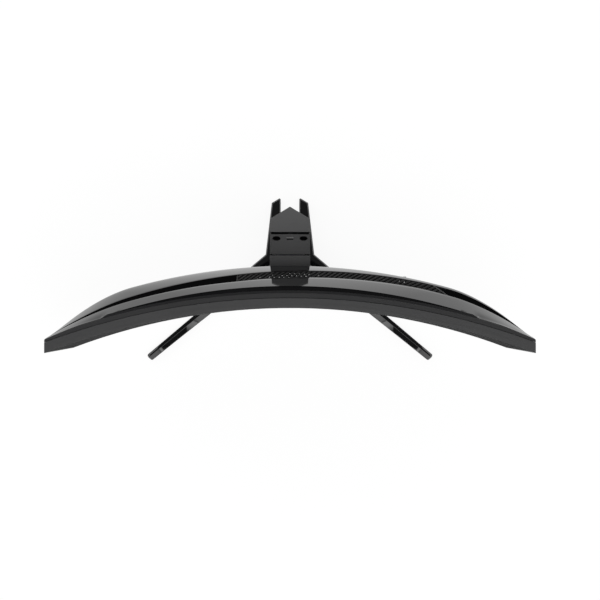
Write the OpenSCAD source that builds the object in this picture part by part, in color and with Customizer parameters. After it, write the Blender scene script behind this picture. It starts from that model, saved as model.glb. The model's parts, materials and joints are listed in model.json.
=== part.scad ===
// Curved desktop monitor on a two-legged stand.
// The screen faces -Y, +Z is up, and the origin is on the desk under the middle of the object.

/* [Head] */
// Width of the head, side to side
head_w = 710; // [590:1:860]
// Height of the head
head_h = 424.5; // [350:0.5:510]
// Gap from the desk to the bottom of the head
head_lift = 108.5; // [90:0.5:140]
// Radius of the screen's curve
panel_r = 1000; // [830:1:1500]
// Place of the front face at the middle of the screen
front_y = -48.6; // [-60:0.1:-40]

/* [Bezel] */
// Depth of the bezel's flat outer band
bezel_d = 14.5; // [13:0.1:20]
// Thickness of the bezel's outer wall
bezel_wall = 1.8; // [1.4:0.1:2.6]
// Height of the chin below the glass
chin_h = 19.6; // [14:0.1:30]
// Thickness of the chin's front wall
chin_t = 2.2; // [1.8:0.1:2.6]
// Width of the power light
led_w = 6; // [3:0.5:12]

/* [Panel stack] */
// Step from the bezel's front edge back to the glass
glass_step = 0.8; // [0.4:0.1:1.2]
// Thickness of the liquid crystal glass
glass_t = 1.4; // [1:0.1:2]
// Space left between the layers
stack_gap = 0.3; // [0.2:0.05:0.4]
// Thickness of the plastic frame behind the glass
mid_t = 2; // [1.5:0.1:2.4]
// Width of that frame's rim
mid_rim = 14; // [10:0.5:20]
// Thickness of each optical film
film_t = 0.4; // [0.2:0.05:0.5]
// Thickness of the light guide
guide_t = 3; // [2:0.1:3.6]
// Sheet thickness of the steel tray
tray_t = 0.8; // [0.6:0.1:1]
// Height of the light bar under the light guide
led_bar_h = 7; // [5:0.5:9]

/* [Rear cover] */
// Depth of the head at the top edge, at the middle
shell_mid_d = 31.9; // [28:0.1:40]
// Depth of the head at the top edge, at its ends
shell_end_d = 20.5; // [19:0.1:26]
// How far the back stands out behind the top edge
bulge = 31.5; // [24:0.1:40]
// Distance from each end over which the back thins out
bulge_edge = 115; // [80:1:150]
// Height of the sloping zone above the flat back
slope_top_h = 131; // [100:1:160]
// Height of the sloping zone below the flat back
slope_bottom_h = 90; // [70:1:110]
// Wall of the rear cover
cover_wall = 2.4; // [1.8:0.1:3]
// Step down from the bezel's top to the rear cover's top
cover_step = 2; // [1:0.1:3]

/* [Vents] */
// Height of each vent grille
vent_h = 44; // [30:1:50]
// Distance from the rear cover's top to the middle of the upper grille
vent_drop = 78; // [65:1:90]
// Distance from the rear cover's bottom to the middle of the lower grille
vent_lift = 54; // [48:1:60]
// Length of each grille to its long side, from the middle
vent_long = 235; // [150:1:238]
// Length of each grille to its short side, from the middle
vent_short = 80; // [40:1:120]
// Distance between two slots
vent_pitch = 7.8; // [6:0.1:14]
// Width of each slot
vent_slot = 3.4; // [2:0.1:5]
// Lean of the slots from upright
vent_lean = 20; // [0:1:45]
// Slope of each grille across the width
vent_tilt = 6.7; // [0:0.1:8]
// Thickness of the grille
vent_t = 2; // [1.4:0.1:2.4]

/* [Wall mount] */
// Spacing of the four wall mount holes
vesa = 75; // [75:25:100]
// Radius of the threaded wall mount holes
vesa_hole_r = 2; // [1.5:0.1:2.5]
// Depth of the wall mount threads
vesa_hole_d = 12; // [8:0.5:16]
// Radius of the wall mount bosses
vesa_boss_r = 5; // [4:0.1:6]
// Height of the wall mount's middle above the desk
mount_z = 300; // [290:1:310]

/* [Tilt hinge] */
// Place of the tilt axis behind the origin
axis_y = 60.4; // [58:0.1:64]
// Height of the tilt axis
axis_z = 330; // [325:0.5:335]
// Width of the two hinge blocks
block_w = 61.6; // [58:0.1:70]
// Height of the two hinge blocks
block_h = 60; // [56:0.5:66]
// Height of the blocks above the tilt axis
block_rise = 15; // [10:0.5:20]
// Gap between the rear cover and the first block
block_gap = 0.6; // [0.5:0.1:2]
// Depth of the first block, next to the rear cover
block_a_d = 16.4; // [14:0.1:18]
// Seam between the two blocks
block_seam = 2.2; // [0.8:0.1:2.6]
// Depth of the second block, next to the hinge
block_b_d = 20; // [16:0.1:20.5]
// Reach of the second block's top plate over the hinge
lip_reach = 10.2; // [8:0.1:10.5]
// Thickness of that plate
lip_t = 2.6; // [2:0.1:2.8]
// Wall of the blocks
block_wall = 2.2; // [1.6:0.1:3]
// Radius of the hinge pins
pin_r = 2.6; // [2:0.1:3]
// Running clearance of the hinge pins
pin_fit = 0.05; // [0.01:0.01:0.1]
// Radius of the hinge barrels
barrel_r = 4.2; // [3.8:0.1:4.6]
// Inner end of each barrel from the middle
barrel_x0 = 12.3; // [11:0.1:14]
// Length of each barrel
barrel_len = 16.9; // [12:0.1:17]
// Thickness of each hinge ear
ear_t = 3; // [2:0.1:4]
// Thickness of each stack of friction washers
washer_t = 1; // [0.6:0.1:1.2]
// Thickness of each hinge nut
nut_t = 1.2; // [0.8:0.1:1.2]

/* [Release button] */
// Width of the release button
button_w = 15; // [10:0.5:20]
// Depth of the release button
button_d = 8; // [6:0.5:9]
// Travel of the release button
button_travel = 3; // [2:0.5:4]

/* [Neck] */
// Width of the neck
neck_w = 61.6; // [56:0.1:66]
// Place of the neck's front face
neck_y = 67.9; // [66:0.1:70]
// Depth of the neck's straight sides
neck_side_d = 20.2; // [18:0.1:24]
// Depth of the neck's pointed back
neck_point_d = 18.8; // [14:0.1:24]
// Height of the neck's top above the tilt axis
neck_rise = 10; // [9:0.5:16]
// Thickness of the neck's top cap
neck_cap_t = 3; // [2:0.1:5]
// Wall of the neck's casing
neck_wall = 2.4; // [1.8:0.1:3]
// Width of the steel core
core_w = 36; // [30:0.5:40]
// Wall of the steel core
core_wall = 2.5; // [2:0.1:3]

/* [Base] */
// Thickness of the rubber feet
foot_t = 2; // [1.5:0.1:3]
// Radius of the rubber feet
foot_r = 4.5; // [3.5:0.1:5]
// Thickness of the hub
hub_t = 14; // [13:0.1:18]
// Half the width of the hub at the legs
hub_half = 40.8; // [38:0.1:50]
// Place of the legs' outer root
hub_y = 41.5; // [36:0.1:46]
// Half the width of the tail at its corners
tail_half = 30.6; // [28:0.1:34]
// Place of the tail's corners
tail_y = 128.1; // [122:0.1:134]
// Place of the prongs' ends
prong_y = 135.9; // [130:0.1:142]
// Half the width of the slot between the prongs
fork_half = 15.6; // [12:0.1:18]
// Depth of that slot
fork_d = 27.9; // [20:0.1:28]
// Length of each leg along its outer edge
leg_len = 262.4; // [218:0.1:315]
// Angle of each leg from the width of the object
leg_angle = 40.25; // [36:0.05:44]
// Width of each leg where it starts
leg_root_w = 19.8; // [17:0.1:24]
// Width of each leg at its end
leg_tip_w = 12.2; // [11:0.1:15]
// Thickness of the legs
leg_t = 11; // [10:0.1:13]
// Length of the hub's stubs that take the legs
stub_len = 30; // [24:0.5:36]
// Length of the tongue inside each stub
tongue_len = 22; // [18:0.5:22]

/* [Ports] */
// Distance from the middle to the port recess
port_x = 46; // [44:0.5:52]
// Width of the port recess
port_w = 78; // [74:0.5:84]
// Height of the port recess
port_h = 24; // [20:0.5:28]
// Height of the recess's middle above the desk
port_z = 224; // [218:1:230]
// Wall of the port recess
port_wall = 1.6; // [1.2:0.1:2]

/* [Joystick] */
// Distance from the middle to the joystick
stick_x = 180; // [165:1:190]
// Height of the joystick above the desk
stick_z = 185; // [180:1:195]
// Radius of the joystick's cap
stick_cap_r = 6; // [5:0.1:6.5]
// Radius of the joystick's stem
stick_stem_r = 2; // [1.6:0.1:2.2]
// Press travel of the joystick
stick_travel = 0.6; // [0.4:0.1:0.8]

/* [Boards and fasteners] */
// Thickness of the circuit boards
board_t = 1.6; // [1:0.1:2]
// Height of the boards above the chassis
standoff_h = 5; // [4:0.5:7]
// Thickness of the steel chassis
chassis_t = 1.5; // [1:0.1:2]
// Place of the chassis behind the origin
chassis_y = -30.5; // [-32:0.1:-29]
// Radius of a small screw's shank
small_screw_r = 1.4; // [1.2:0.1:1.5]
// Radius of a large screw's shank
large_screw_r = 1.9; // [1.8:0.1:2]
// Clearance round every screw's shank
screw_fit = 0.1; // [0.05:0.05:0.2]
// Clearance between pieces that seat in each other
seat_fit = 0.3; // [0.2:0.05:0.4]

/* [Hidden] */
eps = 0.5;
$fn = 64;
arc_fn = 256;

gloss_black = [0.03, 0.03, 0.035];
matte_black = [0.12, 0.12, 0.125];
steel = [0.55, 0.56, 0.58];
board_green = [0.05, 0.25, 0.14];

head_z0 = head_lift;
head_z1 = head_lift + head_h;
half_w = head_w / 2;
screen_axis_y = front_y - panel_r;

// radii of the panel's layers, counted from the axis of the screen's curve
glass_r0 = panel_r + glass_step;
mid_r0 = glass_r0 + glass_t + stack_gap;
film_r0 = mid_r0 + mid_t + stack_gap;
guide_r0 = film_r0 + 2 * film_t + 2 * stack_gap;
reflector_r0 = guide_r0 + guide_t + stack_gap;
tray_r0 = reflector_r0 + film_t + stack_gap;
tray_r1 = tray_r0 + tray_t;
layer_half = half_w - bezel_wall - seat_fit;
layer_z0 = head_z0 + bezel_wall + seat_fit;
layer_z1 = head_z1 - bezel_wall - seat_fit;
tray_inset = seat_fit;
film_inset = tray_inset + tray_t + 2 * seat_fit;
led_z0 = layer_z0 + film_inset;
guide_z0 = led_z0 + led_bar_h + seat_fit;

// the rear cover: its top edge is one circle through the middle and both ends
rim_r = panel_r + bezel_d + seat_fit;
front_sag = panel_r - sqrt(pow(panel_r, 2) - pow(half_w, 2));
crease_sag = front_sag + shell_mid_d - shell_end_d;
crease_r = (pow(half_w, 2) + pow(crease_sag, 2)) / (2 * crease_sag);
crease_axis_y = front_y + shell_mid_d - crease_r;
back_r = crease_r + bulge;
bulge_run = bulge_edge * 1.11;
cover_z0 = head_z0 + cover_step / 2;
cover_z1 = head_z1 - cover_step;
slope_top_z = cover_z1 - slope_top_h;
slope_bottom_z = cover_z0 + slope_bottom_h;
vent_top_z = cover_z1 - vent_drop;
vent_bottom_z = cover_z0 + vent_lift;
vent_mid_x = (vent_long - vent_short) / 2;

board_y = chassis_y + chassis_t + standoff_h;
board_back = board_y + board_t;
port_floor_y = board_back + 12.4;
port_x1 = port_x + port_w;

block_a_y = crease_axis_y + back_r + block_gap;
block_seam_y = block_a_y + block_a_d;
block_b_y = block_seam_y + block_seam;
block_z1 = axis_z + block_rise;
block_z0 = block_z1 - block_h;
mount_web_x = core_w / 2;
mount_web_t = 2;
ear_x1 = barrel_x0 - seat_fit - washer_t;
nut_x0 = barrel_x0 + barrel_len + seat_fit;
mount_plate_half = vesa / 2 + 13.5;
mount_screw_x = mount_plate_half - 6;
chassis_half = stick_x + 15;
chassis_z0 = stick_z - 20;
chassis_z1 = mount_z + 100;

neck_z1 = axis_z + neck_rise;
hub_z0 = foot_t;
hub_z1 = foot_t + hub_t;
core_y0 = neck_y + neck_wall + seat_fit;
core_y1 = neck_y + neck_side_d + 1;
core_z0 = hub_z0 + 8;
foot_y = (core_y0 + core_y1) / 2;
base_screw_r = 3.9;
bracket_t = 3;

function bulge_at(x) =
    bulge * (1 - pow(max(0, abs(x) - half_w + bulge_edge) / bulge_run, 1.78));
function slope_share(z) =
    z > slope_top_z ? 1 - pow((z - slope_top_z) / slope_top_h, 1.15)
    : z < slope_bottom_z ? 1 - 1.2 * pow((slope_bottom_z - z) / slope_bottom_h, 1.8)
    : 1;
function cover_y(x, z) =
    crease_axis_y + sqrt(pow(crease_r + bulge_at(x) * slope_share(z), 2) - pow(x, 2));
function arc_y(r, x) = screen_axis_y + sqrt(pow(r, 2) - pow(x, 2));
function leg_w(u) = leg_root_w + (leg_tip_w - leg_root_w) * u / leg_len;

// ---------- helpers ----------

// a box given by its two corners
module block(low, high) {
    translate(low) cube(high - low);
}

module both_sides() {
    children();
    mirror([1, 0, 0]) children();
}

// a rod along X, Y or Z, from one point over a length
module rod_x(r, start, length) {
    translate(start) rotate([0, 90, 0]) cylinder(r = r, h = length);
}
module rod_y(r, start, length) {
    translate(start) rotate([-90, 0, 0]) cylinder(r = r, h = length);
}
module rod_z(r, start, length) {
    translate(start) cylinder(r = r, h = length);
}

// a curved slab that follows the screen, with its ends cut square to the width
module arc_slab(r0, r1, half, z0, z1) {
    translate([0, screen_axis_y, z0])
        intersection() {
            difference() {
                cylinder(r = r1, h = z1 - z0, $fn = arc_fn);
                translate([0, 0, -1]) cylinder(r = r0, h = z1 - z0 + 2, $fn = arc_fn);
            }
            translate([-half, 0, 0]) cube([2 * half, r1 + 1, z1 - z0]);
        }
}

// the four screw places on a rectangle, in the plane of the boards
module at_corners(x0, x1, z0, z1) {
    for (x = [x0, x1], z = [z0, z1]) translate([x, 0, z]) children();
}

// a screw along Y whose head sits on the plane y = 0 and whose shank points to -Y
module screw_y(r, length, head_r, head_h) {
    rod_y(head_r, [0, 0, 0], head_h);
    rod_y(r, [0, -length, 0], length + eps);
}

// ---------- screen and bezel ----------

module led_place() {
    translate([led_w * 3, front_y + bezel_d / 2, head_z0]) children();
}

module front_bezel() {
    color(matte_black)
        difference() {
            arc_slab(panel_r, panel_r + bezel_d, half_w, head_z0, head_z1);
            arc_slab(panel_r - 1, panel_r + chin_t + eps, half_w - bezel_wall,
                head_z0 + chin_h, head_z1 - bezel_wall);
            arc_slab(panel_r + chin_t, panel_r + bezel_d + 1, half_w - bezel_wall,
                head_z0 + bezel_wall, head_z1 - bezel_wall);
            led_place() translate([-led_w / 2, -1.5, -1]) cube([led_w, 3, bezel_wall + 2]);
        }
}

module power_light_lens() {
    color([0.75, 0.85, 0.95])
        led_place() translate([-led_w / 2 + 0.15, -1.35, 0.2])
            cube([led_w - 0.3, 2.7, bezel_wall - 0.2]);
}

module lcd_glass() {
    color([0.02, 0.02, 0.025])
        arc_slab(glass_r0, glass_r0 + glass_t, layer_half, head_z0 + chin_h + seat_fit, layer_z1);
}

module mid_frame() {
    color(matte_black)
        difference() {
            arc_slab(mid_r0, mid_r0 + mid_t, layer_half, layer_z0, layer_z1);
            arc_slab(mid_r0 - 1, mid_r0 + mid_t + 1, layer_half - mid_rim,
                head_z0 + chin_h + mid_rim / 2, layer_z1 - mid_rim);
        }
}

module film_sheet(r0, t) {
    arc_slab(r0, r0 + t, layer_half - film_inset, guide_z0, layer_z1 - film_inset);
}

module optical_films() {
    color([0.92, 0.93, 0.95])
        for (i = [0, 1]) film_sheet(film_r0 + i * (film_t + stack_gap), film_t);
}

module light_guide() {
    color([0.8, 0.88, 0.92]) film_sheet(guide_r0, guide_t);
}

module reflector_sheet() {
    color([0.95, 0.95, 0.95]) film_sheet(reflector_r0, film_t);
}

module led_bar() {
    color([0.8, 0.8, 0.78])
        arc_slab(film_r0 + stack_gap, reflector_r0, layer_half - film_inset - 4,
            led_z0, led_z0 + led_bar_h);
}

module backlight_tray() {
    color(steel)
        difference() {
            arc_slab(film_r0, tray_r1, layer_half - tray_inset,
                layer_z0 + tray_inset, layer_z1 - tray_inset);
            arc_slab(film_r0 - 1, tray_r0, layer_half - tray_inset - tray_t,
                layer_z0 + tray_inset + tray_t, layer_z1 - tray_inset - tray_t);
        }
}

module panel_driver_board() {
    color(board_green)
        block([-90, arc_y(tray_r1, 0) + 1, layer_z0 + 10],
            [90, arc_y(tray_r1, 0) + 1 + board_t, layer_z0 + 28]);
}

// ---------- chassis, boards and sockets ----------

spacer_x = chassis_half - 60;
spacer_r = 4;
spacer_y = arc_y(tray_r1, spacer_x - spacer_r) + 0.1;

module at_spacers() {
    at_corners(-spacer_x, spacer_x, chassis_z0 + 8, chassis_z1 - 8) children();
}

module tray_spacers() {
    color(steel)
        at_spacers()
            difference() {
                rod_y(spacer_r, [0, spacer_y, 0], chassis_y - spacer_y);
                rod_y(small_screw_r + screw_fit, [0, chassis_y - 8, 0], 9);
            }
}

module chassis_screws() {
    color(steel)
        at_spacers() translate([0, chassis_y + chassis_t, 0])
            screw_y(small_screw_r, chassis_t + 7, 2.8, 2);
}

module at_mount_screws() {
    at_corners(-mount_screw_x, mount_screw_x, mount_z - mount_screw_x, mount_z + mount_screw_x)
        children();
}

module at_bosses() {
    at_corners(-vesa / 2, vesa / 2, mount_z - vesa / 2, mount_z + vesa / 2) children();
}

module chassis_plate() {
    color(steel)
        difference() {
            block([-chassis_half, chassis_y, chassis_z0],
                [chassis_half, chassis_y + chassis_t, chassis_z1]);
            at_spacers() rod_y(small_screw_r + screw_fit, [0, chassis_y - 1, 0], chassis_t + 2);
            at_mount_screws()
                rod_y(large_screw_r + screw_fit, [0, chassis_y - 1, 0], chassis_t + 2);
        }
}

module mount_frame() {
    plate_y = chassis_y + chassis_t;
    end_y = block_b_y - mount_web_t;
    web_z0 = block_z0 + 7;
    web_z1 = block_z1 - 7;
    color(steel)
        difference() {
            union() {
                block([-mount_plate_half, plate_y, mount_z - mount_plate_half],
                    [mount_plate_half, plate_y + 2, mount_z + mount_plate_half]);
                both_sides()
                    block([mount_web_x, plate_y + 1, web_z0],
                        [mount_web_x + mount_web_t, block_b_y, web_z1]);
                block([-mount_web_x - 1, end_y, web_z0], [mount_web_x + 1, block_b_y, web_z1]);
            }
            at_mount_screws() rod_y(large_screw_r + screw_fit, [0, plate_y - 1, 0], 4);
            at_bracket_bolts() rod_y(large_screw_r + screw_fit, [0, end_y - 1, 0], 4);
        }
}

module mount_screws() {
    color(steel)
        at_mount_screws() translate([0, chassis_y + chassis_t + 2, 0])
            screw_y(large_screw_r, 2 + chassis_t + 2, 3.4, 2.4);
}

module wall_mount_bosses() {
    face_y = cover_y(vesa / 2, mount_z) - seat_fit;
    plate_y = chassis_y + chassis_t + 2;
    color(steel)
        at_bosses()
            difference() {
                rod_y(vesa_boss_r, [0, plate_y, 0], face_y - plate_y);
                rod_y(vesa_hole_r, [0, face_y - vesa_hole_d, 0], vesa_hole_d + 1);
            }
}

main_x0 = port_x + 4;
main_x1 = main_x0 + 100;
board_z0 = port_z - 28;
board_z1 = board_z0 + 104;
board_edge = 5;
power_x0 = -150;
power_x1 = -vesa / 2 - 14.5;
stick_board_half = 14;

module at_board_corners() {
    at_corners(main_x0 + board_edge, main_x1 - board_edge, board_z0 + board_edge,
        board_z1 - board_edge) children();
    at_corners(power_x0 + board_edge, power_x1 - board_edge, board_z0 + board_edge,
        board_z1 - board_edge) children();
    for (s = [-1, 1])
        translate([stick_x + s * (stick_board_half - 3), 0, stick_z + s * (stick_board_half - 3)])
            children();
}

module board_standoffs() {
    color(steel)
        at_board_corners()
            difference() {
                rod_y(2.6, [0, chassis_y + chassis_t, 0], standoff_h);
                rod_y(small_screw_r + screw_fit, [0, board_y - 4, 0], 5);
            }
}

module board_screws() {
    color(steel)
        at_board_corners() translate([0, board_back, 0])
            screw_y(small_screw_r, board_t + 3.5, 2.6, 1.8);
}

module circuit_board(x0, x1, z0, z1) {
    difference() {
        block([x0, board_y, z0], [x1, board_back, z1]);
        at_board_corners() rod_y(small_screw_r + screw_fit, [0, board_y - 1, 0], board_t + 2);
    }
}

module main_board() {
    color(board_green) {
        circuit_board(main_x0, main_x1, board_z0, board_z1);
        block([main_x0 + 30, board_back - 0.1, board_z0 + 64],
            [main_x0 + 54, board_back + 2, board_z0 + 88]);
        for (i = [0:3])
            block([main_x0 + 62, board_back - 0.1, board_z0 + 58 + i * 8],
                [main_x0 + 74, board_back + 1.2, board_z0 + 63 + i * 8]);
    }
}

module shield_can() {
    x0 = main_x0 + 14;
    x1 = main_x1 - 14;
    z0 = board_z0 + 50;
    z1 = board_z1 - 6;
    can_t = 0.5;
    color(steel)
        difference() {
            block([x0, board_back, z0], [x1, board_back + 7, z1]);
            block([x0 + can_t, board_back - 1, z0 + can_t],
                [x1 - can_t, board_back + 7 - can_t, z1 - can_t]);
            for (i = [0:5], k = [0:2])
                rod_y(1.5, [x0 + 11 + i * 10, board_back + 5, z0 + 12 + k * 12], 4);
        }
}

module power_board() {
    color(board_green) circuit_board(power_x0, power_x1, board_z0, board_z1);
    color([0.75, 0.65, 0.2])
        block([power_x0 + 16, board_back - 0.1, board_z0 + 40],
            [power_x0 + 46, board_back + 16, board_z0 + 66]);
    color([0.15, 0.15, 0.2])
        for (i = [0:2]) rod_y(5, [power_x0 + 62 + i * 13, board_back - 0.1, board_z0 + 24], 14);
    color([0.3, 0.3, 0.3])
        block([power_x0 + 60, board_back - 0.1, board_z0 + 52],
            [power_x0 + 64, board_back + 15, board_z0 + 88]);
}

hdmi = [14, 4.6];
displayport = [16.1, 4.8];
socket_wall = 0.6;
power_x = port_x + 11;
hdmi_x = port_x + 29;
displayport_x = port_x + 50;
audio_x = port_x + 68;
power_inlet_half = 5.5;
audio_half = 4;
audio_bore_r = 1.8;
power_bore_r = 3.25;
socket_y1 = port_floor_y + port_wall + 0.4;

module flat_socket(x, size) {
    half_x = size[0] / 2;
    half_z = size[1] / 2;
    difference() {
        block([x - half_x - socket_wall, board_back, port_z - half_z - socket_wall],
            [x + half_x + socket_wall, socket_y1, port_z + half_z + socket_wall]);
        block([x - half_x, socket_y1 - 9, port_z - half_z],
            [x + half_x, socket_y1 + 1, port_z + half_z]);
    }
    block([x - half_x + 1.5, socket_y1 - 9.5, port_z - 0.5],
        [x + half_x - 1.5, socket_y1 - 1.5, port_z + 0.5]);
}

module hdmi_socket() {
    color(steel) flat_socket(hdmi_x, hdmi);
}

module displayport_socket() {
    color(steel) flat_socket(displayport_x, displayport);
}

module audio_socket() {
    color([0.15, 0.15, 0.16])
        difference() {
            block([audio_x - audio_half, board_back, port_z - audio_half],
                [audio_x + audio_half, socket_y1, port_z + audio_half]);
            rod_y(audio_bore_r, [audio_x, socket_y1 - 13, port_z], 14);
        }
}

module power_inlet() {
    color([0.1, 0.1, 0.1])
        difference() {
            block([power_x - power_inlet_half, board_back, port_z - power_inlet_half],
                [power_x + power_inlet_half, socket_y1, port_z + power_inlet_half]);
            rod_y(power_bore_r, [power_x, socket_y1 - 10, port_z], 11);
        }
    color(steel) rod_y(0.9, [power_x, socket_y1 - 10.5, port_z], 9);
}

module socket_window(x, half_x, half_z) {
    block([x - half_x - seat_fit, port_floor_y - 1, port_z - half_z - seat_fit],
        [x + half_x + seat_fit, port_floor_y + port_wall + 1, port_z + half_z + seat_fit]);
}

module port_recess() {
    z0 = port_z - port_h / 2;
    z1 = port_z + port_h / 2;
    back = 40;
    color(matte_black)
        difference() {
            intersection() {
                block([port_x + seat_fit, port_floor_y, z0 + seat_fit],
                    [port_x1 - seat_fit, back, z1 - seat_fit]);
                translate([0, crease_axis_y, z0])
                    cylinder(r = back_r - seat_fit, h = port_h, $fn = arc_fn);
            }
            block([port_x + seat_fit + port_wall, port_floor_y + port_wall,
                    z0 + seat_fit + port_wall],
                [port_x1 - seat_fit - port_wall, back + 1, z1 - seat_fit - port_wall]);
            socket_window(power_x, power_inlet_half, power_inlet_half);
            socket_window(hdmi_x, hdmi[0] / 2 + socket_wall, hdmi[1] / 2 + socket_wall);
            socket_window(displayport_x, displayport[0] / 2 + socket_wall,
                displayport[1] / 2 + socket_wall);
            socket_window(audio_x, audio_half, audio_half);
        }
}

// ---------- rear cover ----------

stations = 32;
low_levels = 5;
high_levels = 8;

// one closed outline of the rear cover's section at x, thinned by an inset
function section_at(x, inset, rim) =
    let (z0 = cover_z0 + inset)
    let (z1 = cover_z1 - inset)
    let (low = [for (i = [0:low_levels]) z0 + (slope_bottom_z - z0) * i / low_levels])
    let (high = [for (i = [0:high_levels]) slope_top_z + (z1 - slope_top_z) * i / high_levels])
    concat([[x, arc_y(rim, x), z0]],
        [for (z = concat(low, high)) [x, cover_y(x, z) - inset, z]],
        [[x, arc_y(rim, x), z1]]);

// a solid that fills the sections between both ends
module cover_solid(inset, rim) {
    reach = half_w - inset;
    sections = [for (i = [0:stations])
        section_at(reach * sin(90 * (2 * i / stations - 1)), inset, rim)];
    m = len(sections[0]);
    sides = [for (i = [0:stations - 1], j = [0:m - 1], t = [0, 1])
        let (a = i * m + j)
        let (b = i * m + (j + 1) % m)
        t == 0 ? [a, a + m, b + m] : [a, b + m, b]];
    first = [for (j = [0:m - 1]) j];
    last = [for (j = [m - 1:-1:0]) stations * m + j];
    polyhedron(points = [for (s = sections, p = s) p], faces = concat(sides, [first, last]));
}

// a tilted block through the cover, with its middle at mid_x and mid_z
module vent_window(mid_x, mid_z, grow) {
    length = vent_long + vent_short + 2 * grow;
    translate([mid_x, crease_axis_y + crease_r, mid_z]) rotate([0, vent_tilt, 0])
        cube([length, 130, vent_h + 2 * grow], center = true);
}

module rear_cover() {
    color(gloss_black)
        difference() {
            cover_solid(0, rim_r);
            cover_solid(cover_wall, rim_r - 4);
            vent_window(vent_mid_x, vent_top_z, seat_fit);
            vent_window(-vent_mid_x, vent_bottom_z, seat_fit);
            block([port_x, port_floor_y, port_z - port_h / 2],
                [port_x1, 40, port_z + port_h / 2]);
            block([-mount_web_x - 6, 0, block_z0 + 4], [mount_web_x + 6, 40, block_z1 - 4]);
            at_bosses() rod_y(vesa_boss_r + seat_fit, [0, 0, 0], 40);
            rod_y(stick_cap_r + 2.5, [stick_x, chassis_y, stick_z], 60);
        }
}

// a slotted strip with the same outer face as the rear cover
module vent_grille(mid_x, mid_z) {
    steps = 6;
    half_len = (vent_long + vent_short) / 2;
    reach = vent_h / 2 + half_len * sin(vent_tilt) + 1;
    levels = [for (i = [0:steps]) mid_z - reach + 2 * reach * i / steps];
    face = [for (z = levels) [crease_r + bulge * slope_share(z) - 0.1, z]];
    inner = [for (i = [steps:-1:0]) [face[i][0] - vent_t, face[i][1]]];
    border = 5;
    slot_len = (vent_h - 2 * border) / cos(vent_lean);
    lean_shift = (vent_h - 2 * border) * tan(vent_lean) / 2;
    count = floor(2 * (half_len - border - lean_shift) / vent_pitch);
    difference() {
        intersection() {
            translate([0, crease_axis_y, 0]) rotate([0, 0, 60])
                rotate_extrude(angle = 60, $fn = arc_fn) polygon(concat(face, inner));
            vent_window(mid_x, mid_z, 0);
        }
        translate([mid_x, crease_axis_y + crease_r, mid_z]) rotate([0, vent_tilt, 0])
            for (i = [0:count])
                translate([(i - count / 2) * vent_pitch, 0, 0]) rotate([0, -vent_lean, 0])
                    cube([vent_slot, 130, slot_len], center = true);
    }
}

module vent_grille_top() {
    color([0.05, 0.05, 0.055]) vent_grille(vent_mid_x, vent_top_z);
}

module vent_grille_bottom() {
    color([0.05, 0.05, 0.055]) vent_grille(-vent_mid_x, vent_bottom_z);
}

// ---------- tilt hinge, head side ----------

button_y = block_a_y + block_a_d / 2;

module hinge_block(y0, y1) {
    difference() {
        block([-block_w / 2, y0, block_z0], [block_w / 2, y1, block_z1]);
        block([-block_w / 2 + block_wall, y0 - 1, block_z0 + block_wall],
            [block_w / 2 - block_wall, y1 - block_wall, block_z1 - block_wall]);
    }
}

module mount_block_cover() {
    color(matte_black)
        difference() {
            hinge_block(block_a_y, block_seam_y);
            block([-block_w / 2 + block_wall, block_a_y, block_z0 + block_wall],
                [block_w / 2 - block_wall, block_seam_y + 1, block_z1 - block_wall]);
            block([-button_w / 2, button_y - button_d / 2, block_z0 - 1],
                [button_w / 2, button_y + button_d / 2, block_z0 + block_wall + 1]);
        }
}

module release_button() {
    gap = 0.4;
    color([0.2, 0.2, 0.21]) {
        block([-button_w / 2 + gap, button_y - button_d / 2 + gap, block_z0 - 2.5],
            [button_w / 2 - gap, button_y + button_d / 2 - gap, block_z0 + block_wall + 3]);
        block([-button_w / 2 - 2, button_y - button_d / 2 + gap, block_z0 + block_wall + 0.8],
            [button_w / 2 + 2, button_y + button_d / 2 - gap, block_z0 + block_wall + 3]);
        block([-3, button_y - 1, block_z0 + block_wall + 2],
            [3, button_y + 1, block_z0 + block_wall + 8]);
    }
}

// the plate over the hinge has an oval hole over each barrel and a square one between them
module tilt_block_cover() {
    lip_y = block_b_y + block_b_d;
    hole_y = lip_y + lip_reach / 2 - 1.2;
    barrel_mid = barrel_x0 + barrel_len / 2;
    color(matte_black)
        difference() {
            union() {
                hinge_block(block_b_y, lip_y);
                block([-block_w / 2, lip_y - 1, block_z1 - lip_t],
                    [block_w / 2, lip_y + lip_reach, block_z1]);
            }
            both_sides()
                translate([barrel_mid, hole_y, block_z1 - lip_t - 1]) scale([6.1, 3.4, 1])
                    cylinder(r = 1, h = lip_t + 2);
            block([-5.1, hole_y - 2.1, block_z1 - lip_t - 1], [5.1, hole_y + 2.1, block_z1 + 1]);
            both_sides()
                block([ear_x1 - ear_t - seat_fit, block_b_y, axis_z - barrel_r - 1.4],
                    [ear_x1 + seat_fit, block_b_y + block_b_d + 1, axis_z + barrel_r + 1.4]);
        }
}

module at_bracket_bolts() {
    at_corners(-mount_web_x + 6, mount_web_x - 6, block_z0 + 14, block_z1 - 26) children();
}

module hinge_head_bracket() {
    ear_r = barrel_r + 0.6;
    color(steel)
        difference() {
            union() {
                block([-block_w / 2 + block_wall + 2, block_b_y, block_z0 + 6],
                    [block_w / 2 - block_wall - 2, block_b_y + bracket_t, block_z1 - 6]);
                both_sides() {
                    block([ear_x1 - ear_t, block_b_y + 1, axis_z - ear_r],
                        [ear_x1, axis_y, axis_z + ear_r]);
                    rod_x(ear_r, [ear_x1 - ear_t, axis_y, axis_z], ear_t);
                }
            }
            both_sides() rod_x(pin_r, [ear_x1 - ear_t - 1, axis_y, axis_z], ear_t + 2);
            at_bracket_bolts() rod_y(large_screw_r + screw_fit, [0, block_b_y - 1, 0],
                bracket_t + 2);
        }
}

module bracket_bolts() {
    color(steel)
        at_bracket_bolts() translate([0, block_b_y + bracket_t, 0])
            screw_y(large_screw_r, bracket_t + mount_web_t + 4, 3.4, 2.4);
}

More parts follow.
